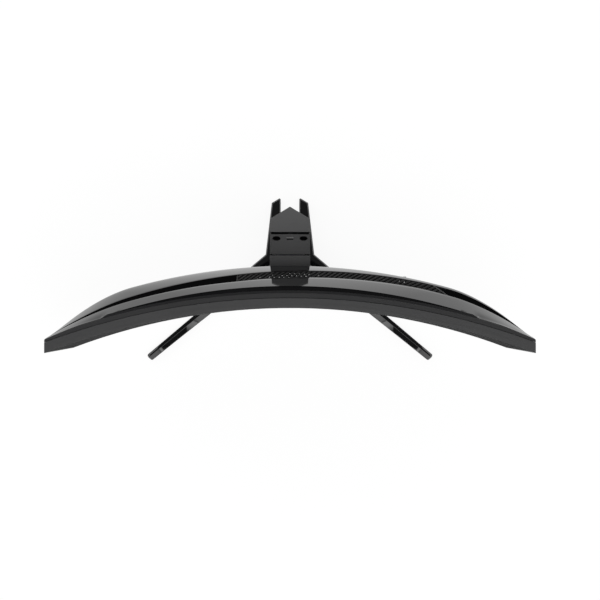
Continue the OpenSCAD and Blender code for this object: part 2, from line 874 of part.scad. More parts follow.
module hinge_pins() {
    color([0.7, 0.7, 0.72])
        both_sides()
            rod_x(pin_r, [ear_x1 - ear_t, axis_y, axis_z], nut_x0 + nut_t - ear_x1 + ear_t);
}

module friction_washers() {
    color([0.4, 0.38, 0.3])
        both_sides()
            difference() {
                rod_x(barrel_r - 0.2, [ear_x1, axis_y, axis_z], washer_t);
                rod_x(pin_r, [ear_x1 - 1, axis_y, axis_z], washer_t + 2);
            }
}

module hinge_nuts() {
    color([0.7, 0.7, 0.72])
        both_sides()
            difference() {
                translate([nut_x0, axis_y, axis_z]) rotate([0, 90, 0])
                    cylinder(r = barrel_r - 0.2, h = nut_t, $fn = 6);
                rod_x(pin_r, [nut_x0 - 1, axis_y, axis_z], nut_t + 2);
            }
}

// ---------- joystick ----------

stick_pivot_y = board_back + 5.4;
gimbal_r1 = 6.5;
gimbal_r0 = 4.6;
gimbal_t = 3;
trunnion_r = 1;
housing_half = 9;

module at_stick() {
    translate([stick_x, stick_pivot_y, stick_z]) children();
}

module joystick_board() {
    color(board_green)
        circuit_board(stick_x - stick_board_half, stick_x + stick_board_half,
            stick_z - stick_board_half, stick_z + stick_board_half);
}

module joystick_housing() {
    color([0.18, 0.18, 0.19])
        difference() {
            block([stick_x - housing_half + 1, board_back, stick_z - housing_half + 1],
                [stick_x + housing_half - 1, stick_pivot_y + gimbal_t / 2 + 0.8,
                    stick_z + housing_half - 1]);
            rod_y(gimbal_r1 + 0.7, [stick_x, stick_pivot_y - 4.4, stick_z], 10);
            at_stick() rod_x(trunnion_r + pin_fit, [-20, 0, 0], 40);
        }
}

module joystick_gimbal() {
    color([0.8, 0.8, 0.78])
        at_stick() {
            difference() {
                rod_y(gimbal_r1, [0, -gimbal_t / 2, 0], gimbal_t);
                rod_y(gimbal_r0, [0, -gimbal_t, 0], 2 * gimbal_t);
                rod_z(trunnion_r + pin_fit, [0, 0, -10], 20);
            }
            both_sides() rod_x(trunnion_r, [gimbal_r1 - 1, 0, 0], housing_half - gimbal_r1 - 0.2);
        }
}

module joystick_rocker() {
    sleeve_r = stick_stem_r + 1.4;
    color([0.3, 0.3, 0.32])
        at_stick()
            difference() {
                union() {
                    rod_y(sleeve_r, [0, -2, 0], 4.5);
                    rod_z(trunnion_r, [0, 0, -gimbal_r1 + 0.3], 2 * gimbal_r1 - 0.6);
                }
                rod_y(stick_stem_r + pin_fit, [0, -5, 0], 10);
            }
}

module joystick_cap() {
    neck = cover_y(stick_x, stick_z) - stick_pivot_y + 2.2;
    color([0.1, 0.1, 0.105])
        at_stick()
            difference() {
                union() {
                    rod_y(stick_stem_r, [0, -3, 0], neck + 4);
                    rod_y(stick_cap_r, [0, neck, 0], 4.5);
                }
                translate([0, neck + 4.5 + 10.5, 0]) sphere(r = 12);
            }
}

// ---------- neck ----------

function neck_outline(inset) = let (half = neck_w / 2 - inset)
    [[-half, neck_y + inset], [half, neck_y + inset],
     [half, neck_y + neck_side_d - inset * 0.3],
     [0, neck_y + neck_side_d + neck_point_d - inset * 1.2],
     [-half, neck_y + neck_side_d - inset * 0.3]];

module at_neck_bolts() {
    for (x = [-8, 8], z = [axis_z - 24, axis_z - 12]) translate([x, 0, z]) children();
}

module neck_hinge_bracket() {
    color(steel)
        difference() {
            union() {
                block([-barrel_x0 - barrel_len, neck_y - bracket_t, axis_z - 30],
                    [barrel_x0 + barrel_len, neck_y, neck_z1 - 2]);
                both_sides() {
                    block([barrel_x0, axis_y, axis_z - barrel_r],
                        [barrel_x0 + barrel_len, neck_y - 1, axis_z + barrel_r]);
                    rod_x(barrel_r, [barrel_x0, axis_y, axis_z], barrel_len);
                }
            }
            both_sides()
                rod_x(pin_r + pin_fit, [barrel_x0 - 1, axis_y, axis_z], barrel_len + 2);
            both_sides()
                rod_x(barrel_r + 1.4, [0, axis_y, axis_z], barrel_x0);
            at_neck_bolts()
                rod_y(large_screw_r + screw_fit, [0, neck_y - bracket_t - 1, 0], bracket_t + 2);
        }
}

module neck_bolts() {
    color(steel)
        at_neck_bolts() translate([0, neck_y - bracket_t, 0]) mirror([0, 1, 0])
            screw_y(large_screw_r, bracket_t + neck_wall + seat_fit + core_wall + 2, 3.4, 2);
}

module neck_front_cover() {
    half = neck_w / 2 - neck_wall - seat_fit;
    color(matte_black)
        difference() {
            block([-half, neck_y, hub_z1], [half, neck_y + neck_wall, neck_z1 - neck_cap_t]);
            at_neck_bolts() rod_y(large_screw_r + screw_fit, [0, neck_y - 1, 0], neck_wall + 2);
        }
}

module neck_casing() {
    half = neck_w / 2 - neck_wall;
    color(matte_black)
        translate([0, 0, hub_z1]) linear_extrude(neck_z1 - neck_cap_t - hub_z1)
            difference() {
                polygon(neck_outline(0));
                polygon(neck_outline(neck_wall));
                translate([-half, neck_y - 1]) square([2 * half, neck_wall + 2]);
            }
}

module neck_cap() {
    color(matte_black) {
        translate([0, 0, neck_z1 - neck_cap_t]) linear_extrude(neck_cap_t)
            polygon(neck_outline(0));
        translate([0, 0, neck_z1 - neck_cap_t - 3]) linear_extrude(4)
            difference() {
                polygon(neck_outline(neck_wall + seat_fit));
                polygon(neck_outline(neck_wall + seat_fit + 1.5));
            }
    }
}

module neck_core() {
    core_z1 = neck_z1 - neck_cap_t - 4;
    color(steel)
        difference() {
            block([-core_w / 2, core_y0, core_z0], [core_w / 2, core_y1, core_z1]);
            block([-core_w / 2 + core_wall, core_y0 + core_wall, core_z0 - 1],
                [core_w / 2 - core_wall, core_y1 + 1, core_z1 + 1]);
            at_neck_bolts() rod_y(large_screw_r + screw_fit, [0, core_y0 - 1, 0], core_wall + 2);
        }
}

module neck_foot() {
    half = core_w / 2 - core_wall - 0.2;
    color(steel)
        difference() {
            block([-half, core_y0 + core_wall + 0.2, core_z0], [half, core_y1, core_z0 + 14]);
            rod_z(base_screw_r + screw_fit, [0, foot_y, core_z0 - 1], 16);
        }
}

// ---------- base ----------

// places children in a leg's own frame: X along its outer edge, Y across it
module leg_frame() {
    translate([hub_half, hub_y, 0]) rotate([0, 0, -leg_angle]) mirror([0, 1, 0]) children();
}

function leg_point(u, v) =
    [hub_half + u * cos(leg_angle) - v * sin(leg_angle),
     hub_y - u * sin(leg_angle) - v * cos(leg_angle)];

// where the inner edges of both legs meet at the middle
root_slope = (leg_tip_w - leg_root_w) / leg_len;
apex_u = (-hub_half + leg_root_w * sin(leg_angle))
    / (cos(leg_angle) - root_slope * sin(leg_angle));
apex_y = leg_point(apex_u, leg_w(apex_u))[1];

hub_right = [
    [fork_half, prong_y - fork_d], [fork_half, prong_y - 1.5], [fork_half + 2, prong_y],
    [tail_half, tail_y], [hub_half, hub_y], leg_point(stub_len, 0),
    leg_point(stub_len, leg_w(stub_len))
];
hub_left = [for (i = [len(hub_right) - 1:-1:0]) [-hub_right[i][0], hub_right[i][1]]];
hub_outline = concat(hub_right, [[0, apex_y]], hub_left);

tongue_z0 = hub_z0 + 3;
tongue_t = 5;
tongue_inset = 4;
leg_screw_u = stub_len - tongue_len / 2 - 1;

module tongue(grow) {
    w = leg_w(stub_len);
    translate([stub_len - tongue_len - grow, tongue_inset - grow, tongue_z0 - grow])
        cube([tongue_len + 4 + grow, w - 2 * tongue_inset + 2 * grow, tongue_t + 2 * grow]);
}

module base_hub() {
    screw_v = leg_w(stub_len) / 2;
    color(gloss_black)
        difference() {
            translate([0, 0, hub_z0]) linear_extrude(hub_t) polygon(hub_outline);
            block([-core_w / 2 - seat_fit, core_y0 - seat_fit, core_z0],
                [core_w / 2 + seat_fit, core_y1 + seat_fit, hub_z1 + 1]);
            rod_z(11, [0, foot_y, hub_z0 - 1], 6);
            rod_z(base_screw_r + seat_fit, [0, foot_y, hub_z0], hub_t);
            both_sides() leg_frame() {
                tongue(seat_fit);
                rod_z(large_screw_r + screw_fit, [leg_screw_u, screw_v, hub_z0 - 1], 6);
                rod_z(3.7, [leg_screw_u, screw_v, hub_z0 - 1], 2.6);
            }
        }
}

module base_leg() {
    u0 = stub_len + seat_fit;
    tip = 2.5;
    outline = [
        [u0, 0], [leg_len - tip, 0], [leg_len, tip], [leg_len, leg_tip_w - tip],
        [leg_len - tip, leg_tip_w], [u0, leg_w(u0)]
    ];
    leg_frame()
        difference() {
            union() {
                translate([0, 0, hub_z0]) linear_extrude(leg_t) polygon(outline);
                tongue(0);
            }
            rod_z(large_screw_r + screw_fit,
                [leg_screw_u, leg_w(stub_len) / 2, tongue_z0 - 1], tongue_t + 2);
        }
}

module base_leg_right() {
    color(gloss_black) base_leg();
}

module base_leg_left() {
    color(gloss_black) mirror([1, 0, 0]) base_leg();
}

module leg_screws() {
    color(steel)
        both_sides() leg_frame() {
            rod_z(3.5, [leg_screw_u, leg_w(stub_len) / 2, hub_z0 + 0.2], 1.3);
            rod_z(large_screw_r, [leg_screw_u, leg_w(stub_len) / 2, hub_z0 + 0.2], 7);
        }
}

module base_screw() {
    color(steel)
        difference() {
            union() {
                rod_z(10, [0, foot_y, hub_z0 + 0.8], 4.2);
                rod_z(base_screw_r, [0, foot_y, hub_z0 + 4], 16);
            }
            block([-8, foot_y - 0.8, hub_z0], [8, foot_y + 0.8, hub_z0 + 2.5]);
        }
}

module rubber_feet() {
    prong_x = (fork_half + tail_half) / 2 + 1;
    color([0.05, 0.05, 0.05]) both_sides() {
        rod_z(foot_r, [prong_x, tail_y - 10, 0], foot_t);
        rod_z(foot_r, [hub_half - 9, hub_y + 10, 0], foot_t);
        leg_frame()
            for (u = [leg_len / 2, leg_len - 8]) rod_z(foot_r, [u, leg_w(u) / 2, 0], foot_t);
    }
}

front_bezel();
lcd_glass();
mid_frame();
optical_films();
light_guide();
reflector_sheet();
led_bar();
backlight_tray();
panel_driver_board();
power_light_lens();
tray_spacers();
chassis_plate();
chassis_screws();
mount_frame();
mount_screws();
wall_mount_bosses();
main_board();
shield_can();
power_board();
board_standoffs();
board_screws();
port_recess();
hdmi_socket();
displayport_socket();
audio_socket();
power_inlet();
rear_cover();
vent_grille_top();
vent_grille_bottom();
mount_block_cover();
tilt_block_cover();
hinge_head_bracket();
bracket_bolts();
hinge_pins();
friction_washers();
hinge_nuts();
release_button();
joystick_board();
joystick_housing();
joystick_gimbal();
joystick_rocker();
joystick_cap();
neck_hinge_bracket();
neck_bolts();
neck_front_cover();
neck_casing();
neck_cap();
neck_core();
neck_foot();
base_hub();
base_leg_left();
base_leg_right();
leg_screws();
base_screw();
rubber_feet();
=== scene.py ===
"""Looks of a curved desktop monitor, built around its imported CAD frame."""
import json
import math

import bmesh
import bpy
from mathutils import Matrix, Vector

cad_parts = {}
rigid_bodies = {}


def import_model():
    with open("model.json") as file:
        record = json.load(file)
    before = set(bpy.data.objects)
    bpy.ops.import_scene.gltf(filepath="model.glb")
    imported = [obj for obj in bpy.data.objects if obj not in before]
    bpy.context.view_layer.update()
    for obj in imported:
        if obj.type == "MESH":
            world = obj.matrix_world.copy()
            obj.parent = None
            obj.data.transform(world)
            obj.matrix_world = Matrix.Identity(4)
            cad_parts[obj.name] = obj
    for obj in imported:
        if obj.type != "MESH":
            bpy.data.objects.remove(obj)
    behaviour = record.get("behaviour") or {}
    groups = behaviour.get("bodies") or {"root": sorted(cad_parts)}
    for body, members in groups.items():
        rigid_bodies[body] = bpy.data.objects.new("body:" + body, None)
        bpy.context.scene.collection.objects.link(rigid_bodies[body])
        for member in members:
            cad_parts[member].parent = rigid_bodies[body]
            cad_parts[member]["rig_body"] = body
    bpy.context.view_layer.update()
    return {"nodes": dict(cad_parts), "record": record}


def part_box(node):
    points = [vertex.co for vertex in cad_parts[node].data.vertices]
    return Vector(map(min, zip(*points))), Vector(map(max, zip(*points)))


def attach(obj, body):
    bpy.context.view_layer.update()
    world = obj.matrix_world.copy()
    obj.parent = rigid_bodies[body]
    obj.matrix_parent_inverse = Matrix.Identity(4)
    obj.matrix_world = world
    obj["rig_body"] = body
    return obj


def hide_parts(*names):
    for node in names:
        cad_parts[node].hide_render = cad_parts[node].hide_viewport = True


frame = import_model()
scene = bpy.context.scene
MM = 0.001

# ---------- sizes, in millimetres, mostly named as in the part's source ----------

_, bezel_high = (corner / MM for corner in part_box("front_bezel"))
cover_low, cover_high = (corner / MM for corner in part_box("rear_cover"))
_, hub_high = (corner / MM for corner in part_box("base_hub"))
half_w = bezel_high.x
panel_r = 1000.0
bezel_d = 14.5
rim_gap = 0.3
shell_mid_d = 31.9
shell_end_fall = 11.4
front_y = bezel_high.y - bezel_d
screen_axis_y = front_y - panel_r
rim_r = panel_r + bezel_d + rim_gap
front_sag = panel_r - math.sqrt(panel_r ** 2 - half_w ** 2)
crease_sag = front_sag + shell_end_fall
crease_r = (half_w ** 2 + crease_sag ** 2) / (2 * crease_sag)
crease_axis_y = front_y + shell_mid_d - crease_r
bulge = 31.5
bulge_edge = 115.0
bulge_stretch = 1.11
bulge_curve = 1.78
cover_z0 = cover_low.z
cover_z1 = cover_high.z
slope_top_h = 131
slope_top_curve = 1.15
slope_top_z = cover_z1 - slope_top_h
slope_bottom_h = 90
slope_bottom_fall = 1.2
slope_bottom_curve = 1.8
slope_bottom_z = cover_z0 + slope_bottom_h
shell_wall = 2.2
mount_z = 300.0
vesa = 75
boss_hole_r = 5.3
port_x = 46
port_w = 78
port_z = 224
port_h = 24
stick_x = 180
stick_z = 185
stick_hole_r = 8.5
glass_step = 0.8
glass_t = 1.4

vent_short = 80.0
vent_long = 235.0
vent_pitch = 7.8
vent_lean = math.radians(20)
vent_drop = 78
vent_lift = 54
strip_z = cover_z1 - vent_drop
strip_mirror_z = strip_z + cover_z0 + vent_lift

leg_angle = math.radians(40.25)
leg_root = (40.8, 41.5)
leg_len = 262.4
leg_root_w = 19.8
leg_tip_w = 12.2
stub_len = 30.0
leg_z0 = 2.0
leg_z1 = 13.0


def clamp(value, low=0.0, high=1.0):
    return max(low, min(high, value))


def arc_y(radius, x):
    return screen_axis_y + math.sqrt(radius ** 2 - x ** 2)


def bulge_at(x):
    return bulge * (1 - (max(0.0, abs(x) - half_w + bulge_edge) / (bulge_edge * bulge_stretch))
                    ** bulge_curve)


def slope_share(z):
    if z > slope_top_z:
        return 1 - ((z - slope_top_z) / slope_top_h) ** slope_top_curve
    if z < slope_bottom_z:
        return 1 - slope_bottom_fall * ((slope_bottom_z - z) / slope_bottom_h) ** slope_bottom_curve
    return 1.0


def cover_y(x, z):
    return crease_axis_y + math.sqrt((crease_r + bulge_at(x) * slope_share(z)) ** 2 - x ** 2)


# ---------- camera ----------

camera_height = 3.706  # metres


def add_camera():
    data = bpy.data.cameras.new("camera")
    data.lens = 131.9
    data.sensor_width = 36
    data.shift_x = 0.0167
    data.shift_y = 0.0135
    data.clip_end = 50
    camera = bpy.data.objects.new("camera", data)
    camera.location = (0, front_y * MM, camera_height)
    scene.collection.objects.link(camera)
    scene.camera = camera


add_camera()


# ---------- materials ----------

BLACK = (0, 0, 0)
WHITE = (1, 1, 1)


class Nodes:
    """A material's node tree, with short calls for the nodes that the finishes share."""

    def __init__(self, name):
        self.material = bpy.data.materials.new(name)
        self.material.use_nodes = True
        self.tree = self.material.node_tree
        self.shader = self.tree.nodes["Principled BSDF"]
        self.place = self.add("ShaderNodeTexCoord").outputs["Object"]

    def add(self, kind, **values):
        node = self.tree.nodes.new(kind)
        for key, value in values.items():
            setattr(node, key, value)
        return node

    def link(self, source, target):
        self.tree.links.new(source, target)

    def set(self, **values):
        for key, value in values.items():
            self.shader.inputs[key.replace("_", " ")].default_value = value

    def stretched(self, scale):
        node = self.add("ShaderNodeMapping")
        node.inputs["Scale"].default_value = scale
        self.link(self.place, node.inputs["Vector"])
        return node.outputs["Vector"]

    def noise(self, scale, detail=3.0, vector=None):
        node = self.add("ShaderNodeTexNoise")
        node.inputs["Scale"].default_value = scale
        node.inputs["Detail"].default_value = detail
        self.link(vector or self.place, node.inputs["Vector"])
        return node.outputs["Fac"]

    def cells(self, scale, feature="F1", vector=None):
        node = self.add("ShaderNodeTexVoronoi", feature=feature)
        node.inputs["Scale"].default_value = scale
        self.link(vector or self.place, node.inputs["Vector"])
        return node.outputs["Distance"]

    def ramp(self, fac, low, high, start=0.3, end=0.7):
        node = self.add("ShaderNodeValToRGB")
        node.color_ramp.elements[0].position = start
        node.color_ramp.elements[1].position = end
        node.color_ramp.elements[0].color = (*low, 1)
        node.color_ramp.elements[1].color = (*high, 1)
        self.link(fac, node.inputs["Fac"])
        return node.outputs["Color"]

    def spread(self, fac, low, high):
        node = self.add("ShaderNodeMapRange")
        node.inputs["To Min"].default_value = low
        node.inputs["To Max"].default_value = high
        self.link(fac, node.inputs["Value"])
        return node.outputs["Result"]

    def mix(self, fac, first, second):
        node = self.add("ShaderNodeMix", data_type="RGBA")
        self.link(fac, node.inputs["Factor"])
        self.link(first, node.inputs["A"])
        self.link(second, node.inputs["B"])
        return node.outputs["Result"]

    def blend(self, kind, share, first, second):
        node = self.add("ShaderNodeMix", data_type="RGBA", blend_type=kind)
        node.inputs["Factor"].default_value = share
        self.link(first, node.inputs["A"])
        self.link(second, node.inputs["B"])
        return node.outputs["Result"]

    def bump(self, height, strength, distance):
        node = self.add("ShaderNodeBump")
        node.inputs["Strength"].default_value = strength
        node.inputs["Distance"].default_value = distance
        self.link(height, node.inputs["Height"])
        self.link(node.outputs["Normal"], self.shader.inputs["Normal"])

    def axis(self, letter):
        node = self.add("ShaderNodeSeparateXYZ")
        self.link(self.place, node.inputs["Vector"])
        return node.outputs[letter]


def tint(color, share):
    return tuple(part * share for part in color)


def moulded_plastic(name, color, rough=0.55, grain=1500, depth=0.25, shine=0.4):
    """Matte plastic with a fine spark-eroded grain and slight handling marks."""
    n = Nodes(name)
    shade = n.noise(9, 4)
    fine = n.noise(grain, 2)
    body = n.ramp(shade, tint(color, 0.93), tint(color, 1.07))
    speck = n.ramp(fine, tint(color, 0.8), tint(color, 1.15))
    n.link(n.mix(n.spread(fine, 0.25, 0.55), body, speck), n.shader.inputs["Base Color"])
    n.link(n.spread(n.noise(35, 5), rough - 0.08, rough + 0.08), n.shader.inputs["Roughness"])
    n.bump(n.cells(grain * 0.7, "SMOOTH_F1"), depth, 0.0002)
    n.set(Specular_IOR_Level=shine)
    return n.material


def polished_plastic(name, color, rough=0.05, coat=0.0):
    """Piano-gloss plastic or paint: faint orange peel, haze and hairline swirls."""
    n = Nodes(name)
    haze = n.noise(14, 5)
    n.link(n.ramp(haze, tint(color, 0.8), tint(color, 1.25)), n.shader.inputs["Base Color"])
    swirl = n.noise(260, 2, n.stretched((1, 0.35, 0.12)))
    blend = n.add("ShaderNodeMath", operation="MULTIPLY")
    n.link(swirl, blend.inputs[0])
    n.link(haze, blend.inputs[1])
    n.link(n.spread(blend.outputs[0], rough * 0.6, rough * 2.2), n.shader.inputs["Roughness"])
    n.bump(n.noise(120, 1), 0.03, 0.0002)
    n.set(IOR=1.5, Coat_Weight=coat, Coat_Roughness=0.02)
    return n.material


def metal(name, color, rough=0.3, grain=(40, 900, 900), spots=0.0):
    """Steel sheet, cast or turned metal: directional grain, and spangle where it is galvanised."""
    n = Nodes(name)
    lines = n.noise(1, 3, n.stretched(grain))
    patch = n.cells(150 + 400 * spots)
    base = n.ramp(lines, tint(color, 0.8), tint(color, 1.1), 0.35, 0.65)
    worn = n.ramp(patch, tint(color, 0.75), tint(color, 1.05), 0.1, 0.6)
    n.link(n.mix(n.spread(n.noise(25, 2), 0.1, 0.2 + spots), base, worn), n.shader.inputs["Base Color"])
    n.link(n.spread(lines, rough - 0.08, rough + 0.12), n.shader.inputs["Roughness"])
    n.bump(lines, 0.12, 0.0001)
    n.set(Metallic=1.0)
    return n.material


def solder_mask(name, color):
    """Circuit board: copper traces under green lacquer, and bright pads."""
    n = Nodes(name)
    trace = n.cells(240, "DISTANCE_TO_EDGE", n.stretched((1, 0.05, 1)))
    pads = n.cells(420, "F1", n.stretched((1, 0.05, 1)))
    lacquer = n.ramp(trace, tint(color, 1.9), color, 0.05, 0.09)
    dotted = n.ramp(pads, (0.6, 0.55, 0.35), BLACK, 0.1, 0.14)
    n.link(n.blend("ADD", 0.7, lacquer, dotted), n.shader.inputs["Base Color"])
    n.link(n.spread(n.noise(60), 0.25, 0.45), n.shader.inputs["Roughness"])
    n.bump(trace, 0.2, 0.0001)
    return n.material


def milky(name, color, rough, transmission=0.0):
    """Light guide, film, frosted lens and acetal: pale, slightly mottled."""
    n = Nodes(name)
    n.link(n.ramp(n.noise(70, 4), tint(color, 0.9), color), n.shader.inputs["Base Color"])
    n.link(n.spread(n.noise(300), rough - 0.05, rough + 0.1), n.shader.inputs["Roughness"])
    n.bump(n.cells(1800), 0.1, 0.0001)
    n.set(Transmission_Weight=transmission, IOR=1.49)
    return n.material


def rubber(name, color):
    n = Nodes(name)
    n.link(n.ramp(n.noise(90, 4), tint(color, 0.7), tint(color, 1.4)), n.shader.inputs["Base Color"])
    n.link(n.spread(n.noise(400), 0.75, 0.95), n.shader.inputs["Roughness"])
    n.bump(n.noise(1200), 0.4, 0.0002)
    return n.material


def screen_surface(name):
    """Anti-glare film over a dark panel, with a black printed border inside the frame."""
    n = Nodes(name)
    side_border, low_border, top_border = (0.3478, 0.3482), (0.1318, 0.1322), (0.5238, 0.5242)
    rim = n.add("ShaderNodeMath", operation="ABSOLUTE")
    n.link(n.axis("X"), rim.inputs[0])
    side = n.ramp(rim.outputs[0], BLACK, WHITE, *side_border)
    low = n.ramp(n.axis("Z"), WHITE, BLACK, *low_border)
    top = n.ramp(n.axis("Z"), BLACK, WHITE, *top_border)
    mask = n.blend("LIGHTEN", 1.0, side, n.blend("LIGHTEN", 1.0, low, top))
    sparkle = n.noise(5000, 1)
    panel = n.ramp(sparkle, (0.013, 0.0132, 0.0142), (0.019, 0.0192, 0.0205))
    border = n.ramp(sparkle, (0.003, 0.003, 0.0033), (0.005, 0.005, 0.0055))
    n.link(n.mix(mask, panel, border), n.shader.inputs["Base Color"])
    n.link(n.spread(n.noise(20, 3), 0.6, 0.7), n.shader.inputs["Roughness"])
    n.bump(sparkle, 0.05, 0.0001)
    n.set(Specular_IOR_Level=0.05)
    return n.material


FINISHES = {
    "bezel_plastic": moulded_plastic("bezel_plastic", (0.052, 0.052, 0.053)),
    # Darker copies of the bezel plastic that paint shade: on the cover's shoulder behind the bezel and on
    # its rims, and darker still on the ledge that runs down into the top groove.
    "shoulder_painted_shade": moulded_plastic("shoulder_painted_shade", (0.030, 0.030, 0.031)),
    "ledge_painted_shade": moulded_plastic("ledge_painted_shade", (0.014, 0.014, 0.015), 0.45),
    "cover_gloss": polished_plastic("cover_gloss", (0.0035, 0.0035, 0.004)),
    "grille_plastic": moulded_plastic("grille_plastic", (0.012, 0.012, 0.0125), 0.6, 900, 0.1, 0.06),
    "strip_plastic": moulded_plastic("strip_plastic", (0.0035, 0.0035, 0.0037), 0.7, 900, 0.1, 0.0),
    "screen_glass": screen_surface("screen_glass"),
    "inner_plastic": moulded_plastic("inner_plastic", (0.02, 0.02, 0.021), 0.5),
    "film": milky("film", (0.85, 0.86, 0.88), 0.3),
    "acrylic": milky("acrylic", (0.8, 0.87, 0.9), 0.1, 0.6),
    "light_bar": metal("light_bar", (0.7, 0.7, 0.71), 0.35),
    "sheet_steel": metal("sheet_steel", (0.5, 0.51, 0.53), 0.38, (60, 60, 60), 0.5),
    "fastener": metal("fastener", (0.4, 0.4, 0.42), 0.3, (700, 700, 60)),
    "board": solder_mask("board", (0.012, 0.1, 0.045)),
    "socket_metal": metal("socket_metal", (0.62, 0.62, 0.64), 0.2),
    "socket_plastic": moulded_plastic("socket_plastic", (0.012, 0.012, 0.013), 0.4),
    "hinge_steel": metal("hinge_steel", (0.03, 0.03, 0.032), 0.4, (400, 400, 60)),
    "block_plastic": moulded_plastic("block_plastic", (0.062, 0.062, 0.063)),
    "neck_plastic": moulded_plastic("neck_plastic", (0.096, 0.096, 0.097)),
    # Darker copy of the neck plastic: painted shade on the neck casing, which stands in shadow under the
    # head.
    "casing_painted_shade": moulded_plastic("casing_painted_shade", (0.032, 0.032, 0.033)),
    "base_gloss": polished_plastic("base_gloss", (0.004, 0.004, 0.0045), 0.07, 1.0),
    "control_plastic": moulded_plastic("control_plastic", (0.03, 0.03, 0.031), 0.4),
    "acetal": milky("acetal", (0.7, 0.7, 0.66), 0.4),
    "foot_rubber": rubber("foot_rubber", (0.02, 0.02, 0.02)),
    "lens": milky("lens", (0.75, 0.8, 0.86), 0.35, 0.3),
}
SLOT_OF = {part["node"]: part["material_slot"] for part in frame["record"]["subparts"]}


def finish_cad_nodes():
    """Every CAD node gets its slot's finish. Those that a piece stands for are hidden later."""
    for node, piece in frame["nodes"].items():
        piece.data.materials.clear()
        piece.data.materials.append(FINISHES[SLOT_OF[node]])


finish_cad_nodes()


# ---------- mesh helpers ----------

weld_gap = 0.002 * MM


def body_of(node):
    return frame["nodes"][node]["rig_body"]


def smooth(mesh, degrees=32):
    mesh.polygons.foreach_set("use_smooth", [True] * len(mesh.polygons))
    mesh.set_sharp_from_angle(angle=math.radians(degrees))
    mesh.update()


def applied(piece):
    """Turns the piece's modifiers into mesh."""
    tree = bpy.context.evaluated_depsgraph_get()
    mesh = bpy.data.meshes.new_from_object(piece.evaluated_get(tree))
    piece.modifiers.clear()
    piece.data = mesh
    return mesh


def new_object(name, mesh, *finishes):
    piece = bpy.data.objects.new(name, mesh)
    scene.collection.objects.link(piece)
    if len(mesh.materials):
        mesh.materials.clear()
    for finish in finishes:
        mesh.materials.append(FINISHES[finish])
    return piece


def stand_for(piece, *nodes):
    """The piece joins the body of these CAD nodes and takes their place; the nodes are hidden."""
    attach(piece, body_of(nodes[0]))
    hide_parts(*nodes)
    return piece


def rounded(piece, width, segments=3, degrees=34):
    modifier = piece.modifiers.new("edges", "BEVEL")
    modifier.width = width * MM
    modifier.segments = segments
    modifier.limit_method = "ANGLE"
    modifier.angle_limit = math.radians(degrees)
    modifier.miter_outer = "MITER_ARC"
    smooth(applied(piece))
    return piece


def clean_copy(node, name, *finishes):
    """A welded copy of a CAD node's mesh, with its flat faces whole again."""
    mesh = frame["nodes"][node].data.copy()
    for attribute in [a for a in mesh.attributes if a.name == "custom_normal"]:
        mesh.attributes.remove(attribute)
    work = bmesh.new()
    work.from_mesh(mesh)
    bmesh.ops.remove_doubles(work, verts=work.verts, dist=weld_gap)
    bmesh.ops.dissolve_limit(work, angle_limit=math.radians(0.4), verts=work.verts, edges=work.edges)
    work.to_mesh(mesh)
    work.free()
    return new_object(name, mesh, *finishes)


def rounded_copy(node, width, segments=3):
    piece = rounded(clean_copy(node, node + "_rounded", SLOT_OF[node]), width, segments)
    return stand_for(piece, node)


def shell(outer, inner, bands):
    """A closed wall between outer and inner rows of points, in millimetres. There are two more outer
    rows than inner ones at both ends. bands gives the material of each strip of the outer side."""
    work = bmesh.new()
    out = [[work.verts.new(Vector(point) * MM) for point in row] for row in outer]
    inn = [[work.verts.new(Vector(point) * MM) for point in row] for row in inner]
    for first, second in zip(out, out[1:]):
        for k in range(len(first) - 1):
            face = work.faces.new((first[k], first[k + 1], second[k + 1], second[k]))
            face.material_index = bands[k]
    for first, second in zip(inn, inn[1:]):
        for k in range(len(first) - 1):
            work.faces.new((first[k], second[k], second[k + 1], first[k + 1]))
    for first, second, third, fourth in zip(out[2:], out[3:-2], inn[1:], inn):
        for k in (0, -1):
            work.faces.new((first[k], second[k], third[k], fourth[k]))
    for tip, edge, wall, cavity in ((out[0], out[1], out[2], inn[0]), (out[-1], out[-2], out[-3], inn[-1])):
        work.faces.new(tip)
        work.faces.new(cavity)
        work.faces.new((tip[0], edge[0], edge[-1], tip[-1]))
        work.faces.new((edge[0], wall[0], cavity[0], cavity[-1], wall[-1], edge[-1]))
    bmesh.ops.remove_doubles(work, verts=work.verts, dist=weld_gap)
    bmesh.ops.recalc_face_normals(work, faces=work.faces)
    mesh = bpy.data.meshes.new("shell")
    work.to_mesh(mesh)
    work.free()
    return mesh


def loft(sections):
    """A closed solid through rings of points, in millimetres."""
    work = bmesh.new()
    rings = [[work.verts.new(Vector(point) * MM) for point in ring] for ring in sections]
    count = len(rings[0])
    for first, second in zip(rings, rings[1:]):
        for k in range(count):
            work.faces.new((first[k], first[(k + 1) % count], second[(k + 1) % count], second[k]))
    work.faces.new(rings[0])
    work.faces.new(rings[-1])
    bmesh.ops.recalc_face_normals(work, faces=work.faces)
    mesh = bpy.data.meshes.new("loft")
    work.to_mesh(mesh)
    work.free()
    return mesh


def joined(meshes):
    work = bmesh.new()
    for mesh in meshes:
        work.from_mesh(mesh)
    result = bpy.data.meshes.new("joined")
    work.to_mesh(result)
    work.free()
    return result


def steps(low, high, count):
    return [low + (high - low) * k / count for k in range(count + 1)]


def box_mesh(low, high):
    (x0, y0, z0), (x1, y1, z1) = low, high
    return loft([[(x0, y0, z), (x1, y0, z), (x1, y1, z), (x0, y1, z)] for z in (z0, z1)])


def rod_mesh(x, z, radius, y0, y1, count=48):
    angles = [2 * math.pi * k / count for k in range(count)]
    return loft([[(x + radius * math.cos(a), y, z + radius * math.sin(a)) for a in angles]
                 for y in (y0, y1)])


def cut(piece, cutters):
    """Cuts closed solids out of the piece."""
    tool = new_object("cutter", joined(cutters), "cover_gloss")
    modifier = piece.modifiers.new("cut", "BOOLEAN")
    modifier.operation = "DIFFERENCE"
    modifier.solver = "EXACT"
    modifier.object = tool
    applied(piece)
    bpy.data.objects.remove(tool)


# ---------- rear cover ----------

